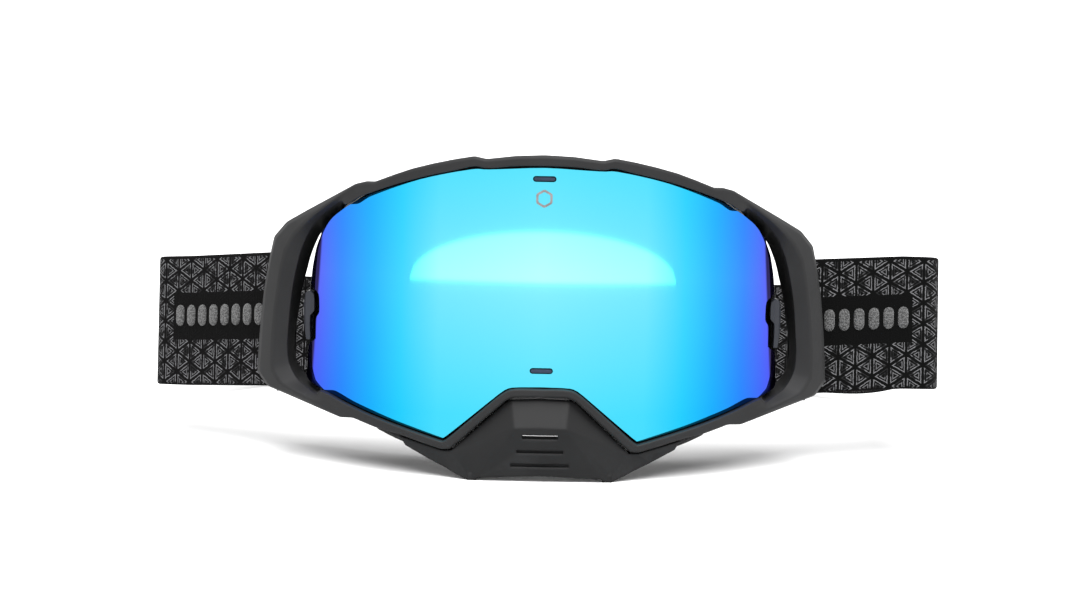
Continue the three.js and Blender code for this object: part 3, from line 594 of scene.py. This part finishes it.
def rim_section(inner, outer, wing):
    """Inner front edge, ridge, chamfer, outer edge, then the rear edges."""
    ridge = RIDGE * wing
    chamfer = 0.7 + 0.5 * wing
    width = (outer - inner).length
    xm, zm = inner.lerp(outer, 0.5)
    xc, zc = inner.lerp(outer, 1 - chamfer / width)
    xb, zb = inner.lerp(outer, 1 - 1.6 * wing / width)
    corner_lean = 2 * smoothstep(inner.y, 77, 81) + 2.2 * smoothstep(inner.y, 75, 79.5)
    lean = (0.8 + 1.8 * smoothstep(inner.y, 36, 54)) * wing + corner_lean * min(1, 5 * wing)
    xn, zn = inner.lerp(outer, -lean / width)
    return [
        place(inner.x, rim_front_y(inner.x) + WING_DISH * wing, inner.y),
        place(xm, rim_front_y(xm) - ridge, zm),
        place(xc, rim_front_y(xc) - ridge * 0.3, zc),
        place(outer.x, rim_front_y(outer.x) + chamfer, outer.y),
        place(xb, rim_back_y(xb, wing), zb),
        place(xn, rim_back_y(xn, wing), zn),
    ]


def make_rim():
    rows = RIM_HALF + [(-a, b, -c, d, w) for a, b, c, d, w in RIM_HALF[-2:0:-1]]
    inner = catmull([row[0:2] for row in rows], RIM_STEPS)
    outer = softened([row[2:4] for row in rows], RIM_STEPS, 1)
    wing = [p.x for p in softened([(row[4], 0) for row in rows], RIM_STEPS, 2)]
    rim = ring("rim", [rounded(rim_section(*row), RIM_CORNERS) for row in zip(inner, outer, wing)])
    smooth(rim)
    modify(rim, "WEIGHTED_NORMAL", keep_sharp=False)
    finish_piece(rim, FRAME_PLASTIC, "frame", "frame_plastic", "outer_frame")


# ---------- strap geometry, shared by the strap and its bars ----------
def in_strap_frame(x, y, z):
    """A point given in the strap's own frame: z is across the strap, and the loop sags as it goes back."""
    dy = y - BAR_Y
    c, s = math.cos(STRAP_TILT), math.sin(STRAP_TILT)
    return place(x, BAR_Y + dy * c + z * s, BAR_Z - dy * s + z * c)


def make_strap_bars():
    lug_in = STRAP_W / 2 + 0.3
    lug_out = lug_in + 1.4
    for label, side in SIDES:
        turn = [2 * math.pi * i / 24 for i in range(24)]
        circle = [(side * BAR_X + BAR_R * math.cos(a), BAR_Y + BAR_R * math.sin(a)) for a in turn]
        groups = [[[in_strap_frame(x, y, z) for x, y in circle] for z in (-lug_out + 0.4, lug_out - 0.4)]]
        nose = [(3 * math.cos(a), 0.6 + 2.7 * math.sin(a)) for a in (math.pi * i / 12 for i in range(13))]
        plan = [(3, -10)] + nose + [(-3, -10)]
        plan = [(side * (BAR_X + u), BAR_Y + v) for u, v in plan]
        for z0, z1 in ((lug_in, lug_out), (-lug_out, -lug_in)):
            groups.append([[in_strap_frame(x, y, z) for x, y in plan] for z in (z0, z1)])
        gusset = [(42, 25.5), (42, 23), (47.5, 20.8), (52, 20.1), (52, 20.9), (48.6, 21.5), (48.4, 25.5)]
        middle = side * (BAR_X - 1.2)
        groups.append([[place(x, y, z) for y, z in gusset] for x in (middle - 3, middle + 3)])
        obj = bars(f"strap_bar_{label}", groups)
        modify(obj, "BEVEL", width=0.25 * MM, segments=2, limit_method="ANGLE")
        smooth(obj)
        modify(obj, "WEIGHTED_NORMAL", keep_sharp=False)
        finish_piece(obj, FRAME_PLASTIC, "frame", "frame_plastic")


# ---------- lens ----------
NOTCH = [(75.3, 56.6), (72.2, 54.6), (72, 48.4), (73.4, 46.4), (73.3, 39.4), (76, 38)]
CORNER = [(58.1, 85.8), (63, 82.9), (67.4, 79.6), (71, 75.2), (73.4, 69.6), (74.8, 62.6)]
BROW_X = (21.1, 27.4, 34.2, 41, 48.4, 53.6)
LENS_FOOT = [(76.7, 27), (75.6, 25.6), (70.8, 23.8), (62.2, 21), (55.9, 18.9), (44, 15.5), (30.9, 12.1),
             (30, 12.2), (12, 27.7), (9.4, 29), (0, 29.3)]


def lens_outline():
    """The lens's edge, its corners eased by averaging between close points."""
    brow = [(x, brow_z(x) - 0.5) for x in BROW_X]
    half = [(0, 96.9), (17.8, 95.9)] + brow + CORNER + NOTCH + LENS_FOOT
    return [(p.x, p.y) for p in softened(whole(half), 4, 1)]


def pill(width, height, z, steps=8):
    """A slot outline with round ends, centred on (0, z)."""
    r = height / 2
    points = []
    for side in (1, -1):
        for i in range(steps + 1):
            a = -math.pi / 2 + math.pi * i / steps
            points.append((side * (width / 2 - r + r * math.cos(a)), z + side * r * math.sin(a)))
    return points


def cylinder_sheet(outer, inner, steps=280, reach=0.92):
    """A curved sheet between two radii of the lens's cylinder, tall enough to cut any outline from."""
    angles = [-reach + 2 * reach * i / steps for i in range(steps + 1)]
    sections = []
    for a in angles:
        ends = [(r * math.sin(a), LENS_R - r * math.cos(a)) for r in (outer, inner)]
        (x0, y0), (x1, y1) = ends
        sections.append([place(x0, y0, -5), place(x0, y0, 115), place(x1, y1, 115), place(x1, y1, -5)])
    return bars("cutter", [sections])


def make_lens():
    lens = prism("mirror_lens", lens_outline(), -12, 70)
    boolean(lens, cylinder_sheet(LENS_R, LENS_R - LENS_T), "INTERSECT")
    for z in (PEG_TOP_Z, PEG_BOTTOM_Z):
        slot = pill(PEG_W + 2 * PEG_ROOM, PEG_H + 2 * PEG_ROOM, z)
        boolean(lens, prism("cutter", slot, -6, 10), "DIFFERENCE")
    smooth(lens, 30)
    finish_piece(lens, MIRROR, "lens", "mirror_lens", "lens_outer")
    lens.data.materials.append(TINTED)
    axis = place(0, LENS_R, 0)
    for face in lens.data.polygons:
        out = math.hypot(face.center.x - axis.x, face.center.y - axis.y)
        face.material_index = 0 if out > (LENS_R - 0.2) * MM else 1


MARK_Z, MARK_RADII, MARK_PROUD = 87.4, (2.9, 2.1), 0.05


def make_lens_mark():
    """A plain six-sided ring printed under the upper peg."""
    rings = []
    for radius in MARK_RADII:
        corners = [(radius * math.sin(math.pi * k / 3), MARK_Z + radius * math.cos(math.pi * k / 3))
                   for k in range(6)]
        rings.append([(p.x, p.y) for p in softened(corners, 6, 1)])
    sections = []
    for outer, inner in zip(*rings):
        section = []
        for (x, z), proud in ((outer, 0), (outer, MARK_PROUD), (inner, MARK_PROUD), (inner, 0)):
            section.append(place(x, arc_y(LENS_R + proud, x), z))
        sections.append(section)
    mark = ring("lens_mark", sections)
    finish_piece(mark, PRINT, "lens", "magnet_nickel")


# ---------- foams ----------
def make_foams():
    """The three face foams, with the soft edges of die-cut foam."""
    for node, edge, material, slot in (
        ("foam_base", 0.7, FOAM, "foam"), ("foam_mid", 1.0, FOAM, "foam"),
        ("face_fleece", 0.8, FLEECE, "fleece"), ("vent_foam_top", 0.5, FOAM, "foam"),
        ("vent_foam_bottom_left", 0.5, FOAM, "foam"), ("vent_foam_bottom_right", 0.5, FOAM, "foam"),
    ):
        obj = new_object(f"soft_{node}", NODES[node].data.copy())
        modify(obj, "WELD", merge_threshold=0.02 * MM)
        modify(obj, "BEVEL", width=edge * MM, segments=2, limit_method="ANGLE",
               angle_limit=math.radians(35))
        modify(obj, "SUBSURF", levels=1, render_levels=1)
        apply_all(obj)
        smooth(obj)
        finish_piece(obj, material, "frame", slot, node)


# ---------- strap ----------
def strap_turn(label):
    """Start of the free run on the bar, its direction and its outward normal, in plan."""
    out = Vector((math.cos(STRAP_OUT[label]), math.sin(STRAP_OUT[label])))
    normal = Vector((out.y, -out.x))
    reach = BAR_R + 0.3 + STRAP_T / 2
    return Vector((BAR_X, BAR_Y)) + normal * reach, out, normal, reach


def free_run(label):
    """Length of the straight run from the bar to where the fold starts."""
    start, out, _, _ = strap_turn(label)
    return (FOLD_X - FOLD_R * (1 - out.y) - start.x) / out.x


def strap_route(label, back_y):
    """Centreline of a band in plan, as if on the right, and the index where the fold starts."""
    start, out, normal, reach = strap_turn(label)
    bar = Vector((BAR_X, BAR_Y))

    def at(t, off):
        return start + out * t - normal * off

    sewn = [at(31, LAYER_PITCH), at(27, LAYER_PITCH), at(22, LAYER_PITCH), at(17, LAYER_PITCH + 0.1),
            at(12, 3), at(8, 4.3), at(5, 5.3), at(2, 5.9)]
    angle = math.atan2(normal.y, normal.x)
    wrap = []
    for i in range(1, 16):
        a = angle - math.pi - 0.15 - i / 16 * (math.pi - 0.3)
        wrap.append(bar + Vector((math.cos(a), math.sin(a))) * reach)
    run = free_run(label)
    straight = [at(run * i / 24, 0) for i in range(24)]
    centre = at(run, FOLD_R)
    fold = []
    for i in range(13):
        a = lerp(STRAP_OUT[label] - math.pi / 2, 0, i / 12)
        fold.append(centre + Vector((math.cos(a), math.sin(a))) * FOLD_R)
    controls = [Vector(p) for p in ((FOLD_X, 121), (FOLD_X, 190), (122, back_y), (74, back_y))]
    side = [fold[-1].lerp(controls[0], i / 16) for i in range(1, 16)]
    sweep = []
    for i in range(49):
        t = i / 48
        p0, p1, p2, p3 = controls
        sweep.append(p0 * (1 - t) ** 3 + p1 * 3 * t * (1 - t) ** 2 + p2 * 3 * t * t * (1 - t) + p3 * t ** 3)
    back = [controls[3].lerp(Vector((-STRAP_END_X, back_y)), i / 60) for i in range(1, 61)]
    line = sewn + wrap + straight + fold + side + sweep + back
    return line, len(sewn) + len(wrap) + len(straight)


def strap_profile():
    """Right-angled offsets (out of the strap, across it) round the band, with rounded selvedges."""
    edge = STRAP_T / 2
    flat = STRAP_W / 2 - edge
    steps = 14
    points = []
    for side in (1, -1):
        points += [(side * edge, side * lerp(-flat, flat, i / steps)) for i in range(steps)]
        for i in range(5):
            a = math.pi * i / 4
            points.append((side * edge * math.cos(a), side * (flat + edge * math.sin(a))))
    return points


def droop(x, y):
    """How far the band sinks between the sliders and the corners, where nothing lifts it."""
    return STRAP_DROOP * smoothstep(y, 110, 200) * smoothstep(abs(x), 67, 92)


def strap_spot(label, x, y, across):
    """A point of a band, given as if on the right, where the limp elastic really lies."""
    side = -1 if label == "left" else 1
    spot = in_strap_frame(side * x, y, across)
    lift = STRAP_LIFT[label] * min(max((x - 82) / 40, 0), 1) * (1 - smoothstep(y, 110, 200))
    spot.z += (lift - droop(x, y)) * MM
    return spot


def make_straps():
    for label, back_y in (("left", BACK_Y), ("right", BACK_Y - LAYER_PITCH)):
        line, fold_at = strap_route(label, back_y)
        lengths = [0.0]
        for a, b in zip(line, line[1:]):
            lengths.append(lengths[-1] + (b - a).length)
        profile = strap_profile()
        sections = []
        for i, point in enumerate(line):
            ahead = line[min(i + 1, len(line) - 1)] - line[max(i - 1, 0)]
            normal = Vector((ahead.y, -ahead.x)).normalized()
            section = []
            for off, across in profile:
                p = point + normal * off
                section.append(strap_spot(label, p.x, p.y, across))
            sections.append(section)
        name = f"elastic_{label}"
        strap = bars(name, [sections])
        layer = strap.data.uv_layers.new(name="along_across")
        columns = len(profile)
        for loop in strap.data.loops:
            row, column = divmod(loop.vertex_index, columns)
            u = lengths[row] - lengths[fold_at]
            layer.data[loop.index].uv = (u * MM, profile[column][1] * MM)
        smooth(strap, 50)
        finish_piece(strap, ELASTIC, "frame", "strap_elastic", f"strap_{label}")
        make_pads(label)
        make_stitches(label)


PAD_COUNT, PAD_PITCH, PAD_FROM_FOLD = 8, 5.3, 7.6
PAD_H, PAD_W, PAD_ACROSS = 7.4, 3.7, 1.7
PAD_LEVELS = ((1.0, -0.15), (1.0, 0.15), (0.93, 0.42), (0.72, 0.58), (0.35, 0.64))  # scale, height


def make_pads(label):
    """The raised looped bars woven into the plain panel."""
    start, out, normal, _ = strap_turn(label)
    outline = [(z, x) for x, z in pill(PAD_H, PAD_W, 0, 6)]
    groups = []
    for k in range(PAD_COUNT):
        middle = free_run(label) - PAD_FROM_FOLD - PAD_PITCH * k
        sections = []
        for scale, proud in PAD_LEVELS:
            section = []
            for du, dv in outline:
                p = start + out * (middle + du * scale) + normal * (STRAP_T / 2 + proud)
                section.append(strap_spot(label, p.x, p.y, PAD_ACROSS + dv * scale))
            sections.append(section)
        groups.append(sections)
    pads = bars(f"terry_bars_{label}", groups)
    smooth(pads, 70)
    return finish_piece(pads, TERRY, "frame", "strap_elastic")


SEAM_FROM_BAR, SEAM_PITCH, SEAM_HALF = 21, 3, 20  # rows of the seam, and half their width
STITCH_COUNT, STITCH_SWING = 26, 0.7


def make_stitches(label):
    """Three rows of zigzag stitches across the sewn end of the band."""
    start, out, normal, _ = strap_turn(label)
    groups = []
    for row in range(3):
        for k in range(STITCH_COUNT):
            v0 = lerp(-SEAM_HALF, SEAM_HALF, k / STITCH_COUNT)
            v1 = lerp(-SEAM_HALF, SEAM_HALF, (k + 0.85) / STITCH_COUNT)
            middle = SEAM_FROM_BAR + SEAM_PITCH * row
            swing = STITCH_SWING if k % 2 else -STITCH_SWING
            sections = []
            for i in range(5):
                f = i / 4
                rise = math.sin(math.pi * f)
                off = LAYER_PITCH + STRAP_T / 2 + 0.12 * rise
                p = start + out * lerp(middle + swing, middle - swing, f) - normal * off
                centre = strap_spot(label, p.x, p.y, lerp(v0, v1, f))
                radius = (0.1 + 0.08 * rise) * MM
                section = []
                for j in range(6):
                    a = math.pi * j / 3
                    section.append(centre + Vector((radius * math.cos(a), radius * math.sin(a), 0)))
                sections.append(section)
            groups.append(sections)
    stitches = bars(f"stitches_{label}", groups)
    smooth(stitches)
    return finish_piece(stitches, THREAD, "frame", "strap_elastic")


# ---------- the CAD parts that stay ----------
def dress(node, material, edge=0.25, limit=24, segments=3):
    """A CAD part keeps its shape and gets eased edges and its material."""
    obj = NODES[node]
    obj.data.materials.clear()
    obj.data.materials.append(material)
    for face in obj.data.polygons:
        face.material_index = 0
        face.use_smooth = True
    modify(obj, "WELD", merge_threshold=0.005 * MM)
    if edge:
        modify(obj, "BEVEL", width=edge * MM, segments=segments, limit_method="ANGLE",
               angle_limit=math.radians(limit))
    modify(obj, "WEIGHTED_NORMAL", keep_sharp=False)


def dress_cad_parts():
    dress("face_frame", FACE_PLASTIC, 0.2, 30)
    dress("lens_carrier", FACE_PLASTIC, 0.15, 40)
    dress("lens_spacer", FOAM, 0.15, 40)
    dress("lens_inner", CLEAR, 0, 0)
    dress("nose_guard", GUARD_PLASTIC, 0.45, 9)
    for name in ("top", "bottom"):
        dress(f"lens_peg_{name}", PEG_PLASTIC, 0.2, 40)
    for label, _ in SIDES:
        dress(f"latch_{label}", LATCH_PLASTIC, 0.3, 20)
        dress(f"latch_pin_{label}", STEEL, 0.12, 40)
        dress(f"slider_{label}", SLIDER_PLASTIC, 0.5, 30)
        for i in range(1, 5):
            dress(f"frame_magnet_{label}_{i}", NICKEL, 0.12, 40)
            dress(f"carrier_magnet_{label}_{i}", NICKEL, 0.12, 40)


# ---------- studio ----------
CAMERA_DISTANCE, CAMERA_HEIGHT = 0.6, 0.1065
CAMERA_DOWN, CAMERA_ROLL = math.radians(4.9), math.radians(1.05)
FOCAL_LENGTH, SENSOR_W, CAMERA_SHIFT = 65.3, 36, -0.0023
WORLD_SEEN, WORLD_LIT = 1.67, 1.0  # strength of the white surroundings as seen, and as they light
FLOOR_REACH = 20
SUN_STRENGTH, SUN_SPREAD, SUN_TURN = 5.3, 58, (26, 4, 0)
CARD_RADIUS, CARD_HALF_ANGLE, CARD_TOP, CARD_LOWEST = 0.92, math.radians(50), 0.0372, 0.0005
CARD_STEPS, CARD_STRENGTH = 64, 4.3


def make_camera():
    """A short telephoto in front of the lens, a little above it and looking slightly down."""
    data = bpy.data.cameras.new("camera")
    data.lens = FOCAL_LENGTH
    data.sensor_width = SENSOR_W
    data.shift_x = CAMERA_SHIFT
    camera = bpy.data.objects.new("camera", data)
    bpy.context.scene.collection.objects.link(camera)
    place_at = Matrix.Translation((0, FRONT - CAMERA_DISTANCE, CAMERA_HEIGHT))
    look = Matrix.Rotation(math.radians(90) - CAMERA_DOWN, 4, "X")
    camera.matrix_world = place_at @ look @ Matrix.Rotation(CAMERA_ROLL, 4, "Z")
    bpy.context.scene.camera = camera


def make_surroundings():
    """White on every side, a little dimmer as light than as background."""
    world = bpy.data.worlds.new("white_studio")
    world.use_nodes = True
    tree = world.node_tree
    background = tree.nodes["Background"]
    background.inputs["Color"].default_value = (1, 1, 1, 1)
    rays = tree.nodes.new("ShaderNodeLightPath")
    dimmer = tree.nodes.new("ShaderNodeMath")
    dimmer.operation = "MULTIPLY_ADD"
    dimmer.inputs[1].default_value = WORLD_LIT - WORLD_SEEN
    dimmer.inputs[2].default_value = WORLD_SEEN
    tree.links.new(rays.outputs["Is Diffuse Ray"], dimmer.inputs[0])
    tree.links.new(dimmer.outputs[0], background.inputs["Strength"])
    bpy.context.scene.world = world


def make_floor():
    r = FLOOR_REACH
    floor = from_faces("floor", [(-r, -r, 0), (r, -r, 0), (r, r, 0), (-r, r, 0)], [(0, 1, 2, 3)])
    paper = Shader("white_paper", roughness=0.9, base_color=(0.8, 0.8, 0.8), specular_ior_level=0.1)
    floor.data.materials.append(paper.material)


def make_sun():
    sun = bpy.data.lights.new("overhead_softbox", "SUN")
    sun.energy = SUN_STRENGTH
    sun.angle = math.radians(SUN_SPREAD)
    lamp = bpy.data.objects.new("overhead_softbox", sun)
    bpy.context.scene.collection.objects.link(lamp)
    lamp.rotation_euler = [math.radians(turn) for turn in SUN_TURN]


def make_reflection_card():
    """A low arched light round the front, standing on the floor's horizon, only seen as a reflection."""
    axis = place(0, LENS_R, 0)
    verts = []
    for i in range(CARD_STEPS + 1):
        a = lerp(-CARD_HALF_ANGLE, CARD_HALF_ANGLE, i / CARD_STEPS)
        x, y = axis.x + CARD_RADIUS * math.sin(a), axis.y - CARD_RADIUS * math.cos(a)
        rise = CARD_TOP * math.sqrt(max(1 - (a / CARD_HALF_ANGLE) ** 2, 0))
        verts += [(x, y, 0), (x, y, max(rise, CARD_LOWEST))]
    faces = [(2 * i, 2 * i + 2, 2 * i + 3, 2 * i + 1) for i in range(CARD_STEPS)]
    card = from_faces("arched_softbox", verts, faces)
    glow = Shader("arched_glow", base_color=(0, 0, 0), emission_color=(1, 1, 1),
                  emission_strength=CARD_STRENGTH)
    card.data.materials.append(glow.material)
    card.visible_camera = False
    card.visible_diffuse = False
    card.visible_shadow = False


def make_studio():
    make_surroundings()
    make_floor()
    make_sun()
    make_reflection_card()
    bpy.context.scene.view_settings.view_transform = "Standard"


make_camera()
make_studio()
make_rim()
make_strap_bars()
make_lens()
make_lens_mark()
make_foams()
make_straps()
dress_cad_parts()
